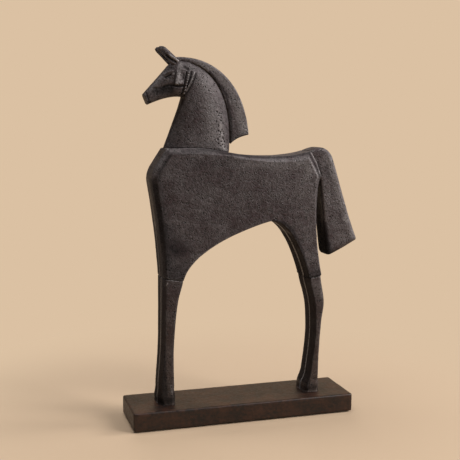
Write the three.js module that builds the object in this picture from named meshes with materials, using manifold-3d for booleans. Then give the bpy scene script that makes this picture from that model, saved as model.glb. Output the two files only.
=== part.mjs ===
// A standing horse statue: castings pinned together, and bolted to a wooden plinth from below.
// Millimetres, +Z up. The origin is the middle of the underside. The horse looks along -X,
// so its left side faces -Y. Outline points are [along X, along Z].

import * as THREE from 'three';
import { mergeVertices } from 'three/addons/utils/BufferGeometryUtils.js';
import Module from 'manifold-3d';

// Fits
const clearance = 0.3; // between two castings, and all round a pin in its hole
const weldDistance = 1e-4;

// Plinth and the rubber liner under it
const plinthLength = 252;
const plinthDepth = 70;
const plinthHeight = 20.4;
const plinthCorner = 5;
const plinthEase = 1.5;
const linerThickness = 1;
const linerInset = 5;

// Stance
const stance = 169; // middle of the front hooves to middle of the rear hooves
const hoofSpread = 16.9; // middle of a left hoof to middle of the right one
const shinLength = 136;
const shinStep = 0.5; // how far a shin stands in from the thigh above it
const hoofThickness = 15.5;
const ankleThickness = 14.4;
const legSquareness = 3.2; // 2 is round, more is squarer

// Shin edges seen from the side, measured from the middle of the hoof, at shares of the way up
const frontShinShares = [0, 0.15, 0.45, 0.72];
const frontShinFront = [-8.3, -7.8, -4.7, -3.6];
const frontShinRear = [8.6, 7.9, 7.6, 10.3];
const rearShinShares = [0, 0.15, 0.45, 0.62, 0.78];
const rearShinFront = [-11, -3.6, 1.4, 2, -0.2];
const rearShinRear = [8.6, 7.6, 8.7, 10.5, 13];

// Torso
const bodyThickness = 40;
const seamGap = 0.3; // between the two halves of the torso
const bevelDepth = 4.5; // how far the bevel runs in from the flank

// Torso outline. Knee edges are measured from the middle of the hoof, and each other point
// from the point before it.
const frontKnee = { front: -3.3, rear: 18 };
const rearKnee = { front: -7.6, rear: 8.4 };
const chest = [-11.2, 108];
const shoulder = [3.4, 15.8];
const withers = [11.8, 19.5];
const seatFlat = [36, 0.6];
const seatSlope = [35.5, -6.6];
const rumpTop = { x: -4.9, rise: 139 }; // from the middle of the rear hoof, above the knee
const rumpSlope = [12.3, -26.9];
const haunch = [-5.3, -66.5];
const archTop = { x: -53.5, rise: 62 };

// Curve handles of the outline, each measured from its own end of the curve
const chestHandle = [-1.6, 49];
const shoulderHandle = [-0.9, 7];
const backHandles = [[22, -5], [-29.6, -9.7]];
const rumpHandles = [[-5.9, -15.5], [0, 19]];
const haunchHandles = [[0.3, -13], [-2.9, 12.6]];
const archHandles = [[-7.7, 26], [25, 1.5]];
const bellyHandles = [[-36, -7.4], [7, 31]];

// Bevel widths round the flank, in the plane of the flank
const frontKneeBevel = 3;
const rearKneeBevel = 1;
const chestBevel = 6;
const seatBevel = 6;
const backBevel = 3;
const rumpBevel = 6;
const haunchBevel = 1.2;
const archBevel = 0.6;

// Neck, from the torso's outline
const throat = [21, 53.8]; // from the withers
const poll = [8.5, 36.5]; // from the throat
const neckHeel = [1, -4]; // where the crest starts, from the end of the seat
const crestHandles = [[4.2, 38], [41, -11.8]];
const neckRoot = 8; // length of neck that is trimmed to the seat
const neckThickness = { base: 28.5, middle: 26, top: 22.5 };
const neckSquareness = 2.4;

// Head
const brow = [-26.3, -6.7]; // from the poll
const browHandle = [-18.7, 4.8];
const nose = [-24.7, -27.1]; // from the brow
const chin = [-38, -8.3]; // from the throat
const jawHandle = [-15, 2.2];
const headThickness = [25, 25.4, 21, 17.4, 15, 13.2]; // poll to muzzle
const headSquareness = 2.8;

// Ears
const earRoot = [-17.4, -0.6]; // from the poll
const earLean = 45; // degrees forward from upright
const earLength = 22;
const earWidth = 9;
const earThickness = 4.8;
const earSpread = 15;
const earPegRadius = 1.6;
const earPegLength = 6;
const earTaper = [
  { along: -0.25, size: 1 },
  { along: 0.55, size: 0.95 },
  { along: 0.9, size: 0.72 },
  { along: 1, size: 0.42 },
];

// Mane
const maneThickness = 10;
const maneTip = [23.5, 19.6]; // from the end of the seat
const maneFront = [-14.8, 5.6]; // from the poll
const maneHandles = [[-3.8, 36.4], [56, 0.6]];
const maneFootShare = 0.09; // where the mane ends, as a share of the way along the crest
const maneUnderHandle = [4, 8];
const maneRoot = 4.5; // depth of mane that is trimmed to the neck
const maneBevel = 1.5;
const maneRootPoints = 8;

// Tail
const tailThickness = 28;
const tailBevel = 4.5;
const tailFrontBevel = 4;
const tailRoot = 4; // depth of tail that is trimmed to the rump
const tailTop = [8, 3.4]; // from the top of the rump
const tailTopHandle = [10.5, 0.6];
const tailShoulder = [18.2, -11]; // from the tail's top
const tailTip = [32, -92]; // from the tail's shoulder
const tailHandles = [[8, -22], [-15, 36]];
const tailTipTurn = [-1.5, -2.8]; // from the tip
const tailTipHandle = [0.9, -2];
const tailFoot = [-29.4, -15.6]; // from the turn at the tip
const tailFootHandle = [-14, -13];
const tailCorner = 7;

// Pins and dowels
const kneeDowel = { radius: 2.5, length: 28 };
const kneeDowelX = { front: 5.4, rear: 1.6 }; // from the middle of the hoof
const torsoDowel = { radius: 3, length: 22 };
const torsoDowelRise = 90; // above the knee
const torsoDowelX = { front: 14, middle: 84, rear: 154 }; // from the middle of the front hoof
const neckDowel = { radius: 3, length: 30, spread: 15 };
const headDowel = { radius: 3, length: 22 };
const manePin = { radius: 1.5, length: 12 };
const manePinPlaces = { lower: 0.32, upper: 0.72 }; // shares of the way along the crest
const tailPin = { radius: 2.5, length: 22, spread: 14 };

// Screws that hold the hooves down on the plinth
const screwRadius = 2;
const screwHeadRadius = 3.6;
const screwHeadHeight = 2.8;
const screwGrip = 16; // length of thread inside the leg
const washerRadius = 4.5;
const washerThickness = 0.9;
const counterbore = { radius: 5.5, depth: 5.5 };

// Smoothness
const roundSteps = 12;
const sectionSteps = 20;
const neckRings = 11;
const headRings = 11;
const shinRings = 10;
const outlineStep = 12; // length of the chords along a curved outline
const shortestCurve = 4; // fewest chords on a curve
const mitreLimit = 0.6; // how sharp a corner may be before its bevel is held back

const wasm = await Module();
wasm.setup();

// Stations that the sizes give
const plinthTop = linerThickness + plinthHeight;
const kneeZ = plinthTop + shinLength;
const frontX = -stance / 2;
const rearX = stance / 2;
const kneeY = (bodyThickness + seamGap) / 4;
const thighThickness = (bodyThickness - seamGap) / 2;
const sides = [{ name: 'left', sign: -1 }, { name: 'right', sign: 1 }];

const point = (x, z) => new THREE.Vector2(x, z);
const from = (start, [dx, dz]) => point(start.x + dx, start.y + dz);

const stops = { frontKnee: point(frontX + frontKnee.front, kneeZ) };
stops.chest = from(stops.frontKnee, chest);
stops.shoulder = from(stops.chest, shoulder);
stops.withers = from(stops.shoulder, withers);
stops.seatBend = from(stops.withers, seatFlat);
stops.seatEnd = from(stops.seatBend, seatSlope);
stops.rumpTop = point(rearX + rumpTop.x, kneeZ + rumpTop.rise);
stops.rumpEnd = from(stops.rumpTop, rumpSlope);
stops.haunch = from(stops.rumpEnd, haunch);
stops.rearKnee = point(rearX + rearKnee.rear, kneeZ);
stops.rearKneeInner = point(rearX + rearKnee.front, kneeZ);
stops.archTop = point(rearX + archTop.x, kneeZ + archTop.rise);
stops.frontKneeInner = point(frontX + frontKnee.rear, kneeZ);
stops.throat = from(stops.withers, throat);
stops.poll = from(stops.throat, poll);
stops.brow = from(stops.poll, brow);
stops.nose = from(stops.brow, nose);
stops.chin = from(stops.throat, chin);

const line = (a, b) => new THREE.LineCurve(a, b);
const bend = (a, handle, b) => new THREE.QuadraticBezierCurve(a, from(a, handle), b);
const sweep = (a, [first, second], b) => (
  new THREE.CubicBezierCurve(a, from(a, first), from(b, second), b));

// Solids for cutting and joining

function toSolid(geometry) {
  const plain = geometry.clone();
  plain.deleteAttribute('normal');
  plain.deleteAttribute('uv');
  const welded = mergeVertices(plain, weldDistance);
  return new wasm.Manifold(new wasm.Mesh({
    numProp: 3,
    vertProperties: new Float32Array(welded.attributes.position.array),
    triVerts: new Uint32Array(welded.index.array),
  }));
}

function toGeometry(solid) {
  const { vertProperties, triVerts } = solid.getMesh();
  const geometry = new THREE.BufferGeometry();
  geometry.setAttribute('position', new THREE.BufferAttribute(vertProperties, 3));
  geometry.setIndex(new THREE.BufferAttribute(triVerts, 1));
  return geometry;
}

function cut(body, tools) {
  return toGeometry(tools.reduce((solid, tool) => solid.subtract(toSolid(tool)), toSolid(body)));
}

function join(first, second) {
  return toGeometry(toSolid(first).add(toSolid(second)));
}

function box(x0, x1, y0, y1, z0, z1) {
  const geometry = new THREE.BoxGeometry(x1 - x0, y1 - y0, z1 - z0);
  return geometry.translate((x0 + x1) / 2, (y0 + y1) / 2, (z0 + z1) / 2);
}

// A round bar through a middle point, along a direction
function bar({ radius, length }, middle, direction) {
  const geometry = new THREE.CylinderGeometry(radius, radius, length, roundSteps);
  const turn = new THREE.Quaternion().setFromUnitVectors(new THREE.Vector3(0, 1, 0), direction);
  return geometry.applyQuaternion(turn).translate(middle.x, middle.y, middle.z);
}

// The hole that a bar fits, with clearance all round
function holeFor({ radius, length }, middle, direction) {
  const size = { radius: radius + clearance, length: length + 2 * clearance };
  return bar(size, middle, direction);
}

// Rings of equal count become one closed solid. Caps are given as triangles of ring indices.
function skin(rings, caps) {
  const count = rings[0].length;
  const last = (rings.length - 1) * count;
  const faces = [];
  for (let ring = 0; ring < rings.length - 1; ring += 1) {
    for (let i = 0; i < count; i += 1) {
      const a = ring * count + i;
      const b = ring * count + ((i + 1) % count);
      faces.push([a, b, b + count], [a, b + count, a + count]);
    }
  }
  for (const [i, j, k] of caps) {
    faces.push([k, j, i], [last + i, last + j, last + k]);
  }
  const points = rings.flat();
  const volume = faces.reduce((sum, [a, b, c]) => (
    sum + points[a].dot(new THREE.Vector3().crossVectors(points[b], points[c]))), 0);
  const outward = volume > 0 ? faces : faces.map(([a, b, c]) => [a, c, b]);
  const geometry = new THREE.BufferGeometry().setFromPoints(points);
  return geometry.setIndex(outward.flat());
}

function loft(rings) {
  const caps = rings[0].slice(2).map((_, i) => [0, i + 1, i + 2]);
  return skin(rings, caps);
}

// A rounded section about a middle, reaching half its length along a direction in the XZ plane
function section(middle, direction, length, thickness, squareness) {
  const power = 2 / squareness;
  return Array.from({ length: sectionSteps }, (_, i) => {
    const angle = (2 * Math.PI * i) / sectionSteps;
    const along = Math.sign(Math.cos(angle)) * Math.abs(Math.cos(angle)) ** power * (length / 2);
    const across = Math.sign(Math.sin(angle)) * Math.abs(Math.sin(angle)) ** power * (thickness / 2);
    return new THREE.Vector3(
      middle.x + direction.x * along, middle.y + across, middle.z + direction.z * along);
  });
}

// A section that spans two outline points
function sectionBetween(a, b, thickness, squareness, grow = 0) {
  const middle = new THREE.Vector3((a.x + b.x) / 2, 0, (a.y + b.y) / 2);
  const direction = new THREE.Vector3(b.x - a.x, 0, b.y - a.y);
  const length = direction.length();
  return section(middle, direction.normalize(), length + 2 * grow, thickness + 2 * grow, squareness);
}

// A piece of an outline, as points that carry the width of the bevel they get
function stretch(curve, firstBevel, lastBevel = firstBevel) {
  const chords = Math.max(Math.round(curve.getLength() / outlineStep), shortestCurve);
  const steps = curve.isLineCurve ? 1 : chords;
  return curve.getPoints(steps).slice(0, -1).map((spot, i) => (
    { spot, bevel: THREE.MathUtils.lerp(firstBevel, lastBevel, i / steps) }));
}

// A chain of such pieces as one closed outline, always turning the same way
function trace(parts) {
  const stations = parts.flat();
  const clockwise = THREE.ShapeUtils.isClockWise(stations.map(({ spot }) => spot));
  return clockwise ? stations.reverse() : stations;
}

// The direction that moves an outline point inwards, long enough to shift both its edges by 1
function inward(stations, i) {
  const count = stations.length;
  const spot = stations[i].spot;
  const before = spot.clone().sub(stations[(i + count - 1) % count].spot).normalize();
  const after = stations[(i + 1) % count].spot.clone().sub(spot).normalize();
  const middle = point(-before.y - after.y, before.x + after.x).normalize();
  const reach = middle.x * -before.y + middle.y * before.x;
  return middle.divideScalar(Math.max(reach, mitreLimit));
}

// A slab with the traced outline, at levels across Y that each take a share of the bevel
function slab(stations, levels, grow = 0) {
  const rings = levels.map(({ y, share }) => stations.map(({ spot, bevel }, i) => {
    const moved = inward(stations, i).multiplyScalar(bevel * share - grow).add(spot);
    return new THREE.Vector3(moved.x, y, moved.y);
  }));
  const caps = THREE.ShapeUtils.triangulateShape(stations.map(({ spot }) => spot), []);
  return skin(rings, caps);
}

function bevelledLevels(thickness, depth) {
  const half = thickness / 2;
  return [{ y: -half, share: 1 }, { y: depth - half, share: 0 }, { y: half - depth, share: 0 },
    { y: half, share: 1 }];
}

// Plinth

function roundedRectangle(length, depth, radius) {
  const shape = new THREE.Shape();
  const x = length / 2 - radius;
  const y = depth / 2 - radius;
  shape.absarc(x, y, radius, 0, Math.PI / 2);
  shape.absarc(-x, y, radius, Math.PI / 2, Math.PI);
  shape.absarc(-x, -y, radius, Math.PI, 1.5 * Math.PI);
  shape.absarc(x, -y, radius, 1.5 * Math.PI, 2 * Math.PI);
  return shape;
}

const legs = sides.flatMap(({ name, sign }) => [
  { name: `front_${name}`, sign, x: frontX, dowelX: frontX + kneeDowelX.front,
    shares: frontShinShares, front: frontShinFront, rear: frontShinRear,
    top: [stops.frontKnee.x, stops.frontKneeInner.x] },
  { name: `rear_${name}`, sign, x: rearX, dowelX: rearX + kneeDowelX.rear,
    shares: rearShinShares, front: rearShinFront, rear: rearShinRear,
    top: [stops.rearKneeInner.x, stops.rearKnee.x] },
]);

const up = new THREE.Vector3(0, 0, 1);
const across = new THREE.Vector3(0, 1, 0);
const hoofY = ({ sign }) => (sign * hoofSpread) / 2;
const counterboreTop = linerThickness + counterbore.depth;
const screwHeadTop = counterboreTop - 2 * clearance - washerThickness;
const screwLength = plinthTop + screwGrip - screwHeadTop;

function plinth() {
  const block = new THREE.ExtrudeGeometry(roundedRectangle(plinthLength, plinthDepth, plinthCorner), {
    depth: plinthHeight - 2 * plinthEase,
    bevelThickness: plinthEase,
    bevelSize: plinthEase,
    bevelOffset: -plinthEase,
    bevelSegments: 2,
    curveSegments: 6,
  }).translate(0, 0, linerThickness + plinthEase);
  const tools = legs.flatMap((leg) => {
    const place = (z) => new THREE.Vector3(leg.x, hoofY(leg), z);
    const bore = { radius: screwRadius + clearance, length: 2 * plinthHeight };
    const recess = { radius: counterbore.radius, length: 2 * counterbore.depth };
    return [bar(bore, place(plinthTop), up), bar(recess, place(linerThickness), up)];
  });
  return cut(block, tools);
}

function liner() {
  const corner = Math.max(plinthCorner - linerInset, 1);
  const length = plinthLength - 2 * linerInset;
  const depth = plinthDepth - 2 * linerInset;
  return new THREE.ExtrudeGeometry(roundedRectangle(length, depth, corner), {
    depth: linerThickness,
    bevelEnabled: false,
    curveSegments: 4,
  });
}

function turned(profile) {
  return new THREE.LatheGeometry(profile, roundSteps).rotateX(Math.PI / 2);
}

function screw() {
  return turned([point(0, -screwHeadHeight), point(screwHeadRadius, -screwHeadHeight),
    point(screwHeadRadius, 0), point(screwRadius, 0), point(screwRadius, screwLength),
    point(0, screwLength)]);
}

function washer() {
  const bore = screwRadius + clearance;
  return turned([point(bore, 0), point(washerRadius, 0), point(washerRadius, washerThickness),
    point(bore, washerThickness), point(bore, 0)]);
}

// Legs

function shin(leg) {
  const fronts = [...leg.front, leg.top[0] - leg.x + shinStep];
  const rears = [...leg.rear, leg.top[1] - leg.x - shinStep];
  const edges = new THREE.CatmullRomCurve3(
    [...leg.shares, 1].map((share, i) => new THREE.Vector3(fronts[i], rears[i], share)));
  const kneeThickness = thighThickness - 2 * shinStep;
  const calfThickness = (ankleThickness + kneeThickness) / 2;
  const girths = [hoofThickness, ankleThickness, calfThickness, kneeThickness];
  const bulk = new THREE.CatmullRomCurve3(girths.map((girth) => new THREE.Vector3(girth, 0, 0)));
  const height = shinLength - clearance;
  const rings = Array.from({ length: shinRings + 1 }, (_, i) => {
    const { x: front, y: rear, z: share } = edges.getPoint(i / shinRings);
    const thickness = bulk.getPoint(i / shinRings).x;
    const y = leg.sign * THREE.MathUtils.lerp(hoofSpread / 2, kneeY, share);
    const middle = new THREE.Vector3(leg.x + (front + rear) / 2, y, plinthTop + share * height);
    return section(middle, new THREE.Vector3(1, 0, 0), rear - front, thickness, legSquareness);
  });
  const grip = { radius: screwRadius, length: 2 * screwGrip };
  return cut(loft(rings), [
    holeFor(grip, new THREE.Vector3(leg.x, hoofY(leg), plinthTop), up),
    holeFor(kneeDowel, kneeMiddle(leg), up),
  ]);
}

function kneeMiddle(leg) {
  return new THREE.Vector3(leg.dowelX, leg.sign * kneeY, kneeZ);
}

// Torso

const kneeOverrun = [0, -8]; // the legs of the outline run past the knee and are trimmed there
const foot = (stop) => from(stop, kneeOverrun);
const torsoOutline = trace([
  stretch(line(foot(stops.frontKnee), stops.frontKnee), frontKneeBevel),
  stretch(bend(stops.frontKnee, chestHandle, stops.chest), frontKneeBevel, chestBevel),
  stretch(bend(stops.chest, shoulderHandle, stops.shoulder), chestBevel),
  stretch(line(stops.shoulder, stops.withers), chestBevel, seatBevel),
  stretch(line(stops.withers, stops.seatBend), seatBevel),
  stretch(line(stops.seatBend, stops.seatEnd), seatBevel, backBevel),
  stretch(sweep(stops.seatEnd, backHandles, stops.rumpTop), backBevel, rumpBevel),
  stretch(line(stops.rumpTop, stops.rumpEnd), rumpBevel),
  stretch(sweep(stops.rumpEnd, rumpHandles, stops.haunch), rumpBevel, haunchBevel),
  stretch(sweep(stops.haunch, haunchHandles, stops.rearKnee), haunchBevel, rearKneeBevel),
  stretch(line(stops.rearKnee, foot(stops.rearKnee)), rearKneeBevel),
  stretch(line(foot(stops.rearKnee), foot(stops.rearKneeInner)), rearKneeBevel, archBevel),
  stretch(line(foot(stops.rearKneeInner), stops.rearKneeInner), archBevel),
  stretch(sweep(stops.rearKneeInner, archHandles, stops.archTop), archBevel),
  stretch(sweep(stops.archTop, bellyHandles, stops.frontKneeInner), archBevel),
  stretch(line(stops.frontKneeInner, foot(stops.frontKneeInner)), archBevel),
  stretch(line(foot(stops.frontKneeInner), foot(stops.frontKnee)), archBevel, frontKneeBevel),
]);

const crest = sweep(from(stops.seatEnd, neckHeel), crestHandles, stops.poll);
const rumpAlong = stops.rumpEnd.clone().sub(stops.rumpTop).normalize();
const rumpOut = new THREE.Vector3(-rumpAlong.y, 0, rumpAlong.x);
const jawAlong = stops.poll.clone().sub(stops.throat).normalize();
const jawOut = new THREE.Vector3(jawAlong.y, 0, -jawAlong.x);

const torsoDowelMiddle = (x) => new THREE.Vector3(frontX + x, 0, kneeZ + torsoDowelRise);
const seatMiddle = stops.seatBend;
const neckDowelMiddle = (sign) => (
  new THREE.Vector3(seatMiddle.x, (sign * neckDowel.spread) / 2, seatMiddle.y));
const tailPinMiddle = (sign) => new THREE.Vector3(
  (stops.rumpTop.x + stops.rumpEnd.x) / 2,
  (sign * tailPin.spread) / 2,
  (stops.rumpTop.y + stops.rumpEnd.y) / 2);
const headDowelMiddle = new THREE.Vector3(
  (stops.throat.x + stops.poll.x) / 2, 0, (stops.throat.y + stops.poll.y) / 2);

function manePinPose(share) {
  const place = crest.getPoint(share);
  const along = crest.getTangent(share);
  return {
    middle: new THREE.Vector3(place.x, 0, place.y),
    direction: new THREE.Vector3(along.y, 0, -along.x),
  };
}

function torsoHalf(sign) {
  const half = bodyThickness / 2;
  const block = slab(torsoOutline, [
    { y: (sign * seamGap) / 2, share: 0 },
    { y: sign * (half - bevelDepth), share: 0 },
    { y: sign * half, share: 1 },
  ]);
  const wide = plinthLength;
  const below = box(-wide, wide, -wide, wide, 0, kneeZ);
  const dowels = Object.values(torsoDowelX).map((x) => (
    holeFor(torsoDowel, torsoDowelMiddle(x), across)));
  const knees = legs.filter((leg) => leg.sign === sign).map((leg) => (
    holeFor(kneeDowel, kneeMiddle(leg), up)));
  return cut(block, [below, ...dowels, ...knees,
    holeFor(neckDowel, neckDowelMiddle(sign), up),
    holeFor(tailPin, tailPinMiddle(sign), rumpOut)]);
}

// The room that the torso takes, for trimming what seats on it
const torsoRoom = slab(torsoOutline, [
  { y: -bodyThickness, share: 0 },
  { y: bodyThickness, share: 0 },
], clearance);

// Neck

function neckLoft(grow = 0) {
  const root = point(
    stops.withers.x - (throat[0] / throat[1]) * neckRoot, stops.withers.y - neckRoot);
  const front = line(root, stops.throat);
  const { base, middle, top } = neckThickness;
  const girth = new THREE.QuadraticBezierCurve(point(base, 0), point(middle, 0), point(top, 0));
  return loft(Array.from({ length: neckRings + 1 }, (_, i) => {
    const share = i / neckRings;
    const thickness = girth.getPoint(share).x;
    const [a, b] = [front.getPoint(share), crest.getPoint(share)];
    return sectionBetween(a, b, thickness, neckSquareness, grow);
  }));
}

function neck() {
  const pins = Object.values(manePinPlaces).map((share) => {
    const { middle, direction } = manePinPose(share);
    return holeFor(manePin, middle, direction);
  });
  const dowels = sides.map(({ sign }) => holeFor(neckDowel, neckDowelMiddle(sign), up));
  return cut(neckLoft(), [torsoRoom, ...pins, ...dowels, holeFor(headDowel, headDowelMiddle, jawOut)]);
}

// Head and ears

function headLoft(grow = 0) {
  const back = 2 * grow - clearance; // room for the head reaches into the neck's
  const shift = [jawOut.x * back, jawOut.z * back];
  const pollEnd = from(stops.poll, shift);
  const throatEnd = from(stops.throat, shift);
  const crown = new THREE.CurvePath();
  crown.add(bend(pollEnd, browHandle, stops.brow));
  crown.add(line(stops.brow, stops.nose));
  const jaw = bend(throatEnd, jawHandle, stops.chin);
  const girth = new THREE.CatmullRomCurve3(
    headThickness.map((thickness) => new THREE.Vector3(thickness, 0, 0)));
  return loft(Array.from({ length: headRings + 1 }, (_, i) => {
    const share = i / headRings;
    const thickness = girth.getPoint(share).x;
    const [a, b] = [jaw.getPointAt(share), crown.getPointAt(share)];
    return sectionBetween(a, b, thickness, headSquareness, grow);
  }));
}

const earAlong = new THREE.Vector3(
  -Math.sin(THREE.MathUtils.degToRad(earLean)), 0, Math.cos(THREE.MathUtils.degToRad(earLean)));
const earBase = from(stops.poll, earRoot);
const earFoot = (sign) => new THREE.Vector3(earBase.x, (sign * earSpread) / 2, earBase.y);
const earPeg = { radius: earPegRadius, length: earPegLength + earLength / 2 };
const earPegMiddle = (sign) => (
  earFoot(sign).addScaledVector(earAlong, (earLength / 2 - earPegLength) / 2));

function head() {
  const pegs = sides.map(({ sign }) => holeFor(earPeg, earPegMiddle(sign), earAlong));
  return cut(headLoft(), [holeFor(headDowel, headDowelMiddle, jawOut), ...pegs]);
}

function ear(sign) {
  const flat = new THREE.Vector3(earAlong.z, 0, -earAlong.x);
  const blade = loft(earTaper.map(({ along, size }) => {
    const middle = earFoot(sign).addScaledVector(earAlong, along * earLength);
    return section(middle, flat, earWidth * size, earThickness * size, headSquareness);
  }));
  return join(cut(blade, [headLoft(clearance)]), bar(earPeg, earPegMiddle(sign), earAlong));
}

// Mane

function mane() {
  const tip = from(stops.seatEnd, maneTip);
  const front = from(stops.poll, maneFront);
  const frontRoot = from(stops.poll, [maneFront[0], -maneRoot]);
  const heel = crest.getPoint(maneFootShare);
  const root = Array.from({ length: maneRootPoints }, (_, i) => {
    const share = THREE.MathUtils.lerp(1, maneFootShare, i / (maneRootPoints - 1));
    const along = crest.getTangent(share);
    return from(crest.getPoint(share), [-along.y * maneRoot, along.x * maneRoot]);
  });
  const outline = trace([
    stretch(sweep(tip, maneHandles, front), maneBevel),
    stretch(line(front, frontRoot), maneBevel, 0),
    stretch(line(frontRoot, root[0]), 0),
    stretch(new THREE.SplineCurve(root), 0),
    stretch(line(root.at(-1), heel), 0),
    stretch(bend(heel, maneUnderHandle, tip), 0, maneBevel),
  ]);
  const pins = Object.values(manePinPlaces).map((share) => {
    const { middle, direction } = manePinPose(share);
    return holeFor(manePin, middle, direction);
  });
  const block = slab(outline, bevelledLevels(maneThickness, maneBevel));
  return cut(block, [neckLoft(clearance), headLoft(clearance), ...pins]);
}

// Tail

function tail() {
  const sunk = [-rumpOut.x * tailRoot, -rumpOut.z * tailRoot];
  const crown = from(stops.rumpTop, tailTop);
  const shoulderEnd = from(crown, tailShoulder);
  const tip = from(shoulderEnd, tailTip);
  const under = from(tip, tailTipTurn);
  const footEnd = from(under, tailFoot);
  const heel = from(footEnd, [-tailCorner, tailCorner]);
  const sunkTop = from(stops.rumpTop, sunk);
  const sunkEnd = from(stops.rumpEnd, sunk);
  const outline = trace([
    stretch(line(sunkTop, stops.rumpTop), 0),
    stretch(line(stops.rumpTop, crown), 0, tailBevel),
    stretch(bend(crown, tailTopHandle, shoulderEnd), tailBevel),
    stretch(sweep(shoulderEnd, tailHandles, tip), tailBevel),
    stretch(bend(tip, tailTipHandle, under), tailBevel),
    stretch(bend(under, tailFootHandle, footEnd), tailBevel),
    stretch(bend(footEnd, [-tailCorner, 0], heel), tailBevel, tailFrontBevel),
    stretch(line(heel, stops.rumpEnd), tailFrontBevel),
    stretch(line(stops.rumpEnd, sunkEnd), tailFrontBevel, 0),
    stretch(line(sunkEnd, sunkTop), 0),
  ]);
  const pins = sides.map(({ sign }) => holeFor(tailPin, tailPinMiddle(sign), rumpOut));
  return cut(slab(outline, bevelledLevels(tailThickness, tailBevel)), [torsoRoom, ...pins]);
}

// Finishes

const castMetal = { color: 0x463e3b, roughness: 0.55, metalness: 0.5 };
const stainedWood = { color: 0x3d2f26, roughness: 0.45, metalness: 0 };
const plainSteel = { color: 0x8b8d8f, roughness: 0.35, metalness: 1 };
const blackRubber = { color: 0x1b1a19, roughness: 0.9, metalness: 0 };

// Assembly

const statue = new THREE.Group();

function add(name, geometry, finish, place = new THREE.Vector3()) {
  const mesh = new THREE.Mesh(geometry, new THREE.MeshStandardMaterial(finish));
  mesh.name = name;
  mesh.position.copy(place);
  statue.add(mesh);
}

add('base_liner', liner(), blackRubber);
add('plinth', plinth(), stainedWood);
for (const leg of legs) {
  const hoof = (z) => new THREE.Vector3(leg.x, hoofY(leg), z);
  add(`hoof_screw_${leg.name}`, screw(), plainSteel, hoof(screwHeadTop));
  add(`hoof_washer_${leg.name}`, washer(), plainSteel, hoof(screwHeadTop + clearance));
  add(`shin_${leg.name}`, shin(leg), castMetal);
  add(`knee_dowel_${leg.name}`, bar(kneeDowel, kneeMiddle(leg), up), plainSteel);
}
for (const { name, sign } of sides) {
  add(`torso_${name}`, torsoHalf(sign), castMetal);
  add(`neck_dowel_${name}`, bar(neckDowel, neckDowelMiddle(sign), up), plainSteel);
  add(`tail_pin_${name}`, bar(tailPin, tailPinMiddle(sign), rumpOut), plainSteel);
  add(`ear_${name}`, ear(sign), castMetal);
}
for (const [name, x] of Object.entries(torsoDowelX)) {
  add(`torso_dowel_${name}`, bar(torsoDowel, torsoDowelMiddle(x), across), plainSteel);
}
for (const [name, share] of Object.entries(manePinPlaces)) {
  const { middle, direction } = manePinPose(share);
  add(`mane_pin_${name}`, bar(manePin, middle, direction), plainSteel);
}
add('neck', neck(), castMetal);
add('head', head(), castMetal);
add('head_dowel', bar(headDowel, headDowelMiddle, jawOut), plainSteel);
add('mane', mane(), castMetal);
add('tail', tail(), castMetal);

export default statue;
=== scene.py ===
import math
import bpy
import bmesh
import numpy as np
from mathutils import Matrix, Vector
from mathutils.geometry import interpolate_bezier
from mathutils.kdtree import KDTree


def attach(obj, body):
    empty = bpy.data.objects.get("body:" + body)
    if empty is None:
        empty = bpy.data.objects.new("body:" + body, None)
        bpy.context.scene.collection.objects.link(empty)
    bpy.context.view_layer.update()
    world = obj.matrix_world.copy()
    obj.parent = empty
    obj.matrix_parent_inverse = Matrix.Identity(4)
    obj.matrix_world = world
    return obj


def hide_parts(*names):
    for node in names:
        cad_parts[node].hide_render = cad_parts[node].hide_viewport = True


# A standing horse in patinated cast metal on a stained wooden plinth.
# Plans are in millimetres, seen from the horse's left side as (along X, along Z); meshes in metres.
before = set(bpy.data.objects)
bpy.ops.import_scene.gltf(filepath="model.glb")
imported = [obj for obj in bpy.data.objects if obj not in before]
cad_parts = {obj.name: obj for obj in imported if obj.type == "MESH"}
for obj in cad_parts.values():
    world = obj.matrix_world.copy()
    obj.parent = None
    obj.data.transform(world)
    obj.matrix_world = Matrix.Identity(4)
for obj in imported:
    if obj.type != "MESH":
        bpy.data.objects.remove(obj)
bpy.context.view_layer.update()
scene = bpy.context.scene
mm = 0.001
print("frame loaded:", len(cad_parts), "nodes")


# Small tools of the bench

def bare():  # object mode with nothing selected
    if bpy.context.object and bpy.context.object.mode != "OBJECT":
        bpy.ops.object.mode_set(mode="OBJECT")
    bpy.ops.object.select_all(action="DESELECT")


def choose(obj):
    bare()
    obj.select_set(True)
    bpy.context.view_layer.objects.active = obj


def intoEdit(obj, kind):
    choose(obj)
    bpy.ops.object.mode_set(mode="EDIT")
    bpy.ops.mesh.select_mode(type=kind)
    bpy.ops.mesh.select_all(action="DESELECT")


def pick(obj, kind, test):  # selects the parts of a mesh that pass a test
    intoEdit(obj, kind)
    shape = bmesh.from_edit_mesh(obj.data)
    parts = {"VERT": shape.verts, "EDGE": shape.edges, "FACE": shape.faces}[kind]
    for part in parts:
        if test(part):
            part.select_set(True)
    bmesh.update_edit_mesh(obj.data)


def modify(obj, kind, **settings):  # adds a modifier and applies it at once
    choose(obj)
    modifier = obj.modifiers.new(kind.lower(), kind)
    for key, value in settings.items():
        setattr(modifier, key, value)
    bpy.ops.object.modifier_apply(modifier=modifier.name)


def cutWith(obj, tool, keepTool=False):
    modify(obj, "BOOLEAN", operation="DIFFERENCE", solver="EXACT", object=tool)
    if not keepTool:
        bpy.data.objects.remove(tool)


def block(name, low, high):  # a box between two corners
    bare()
    middle = [(a + b) / 2 * mm for a, b in zip(low, high)]
    bpy.ops.mesh.primitive_cube_add(size=1, location=middle)
    obj = bpy.context.object
    obj.name = name
    obj.scale = [(b - a) * mm for a, b in zip(low, high)]
    bpy.ops.object.transform_apply(location=True, rotation=True, scale=True)
    return obj


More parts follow.
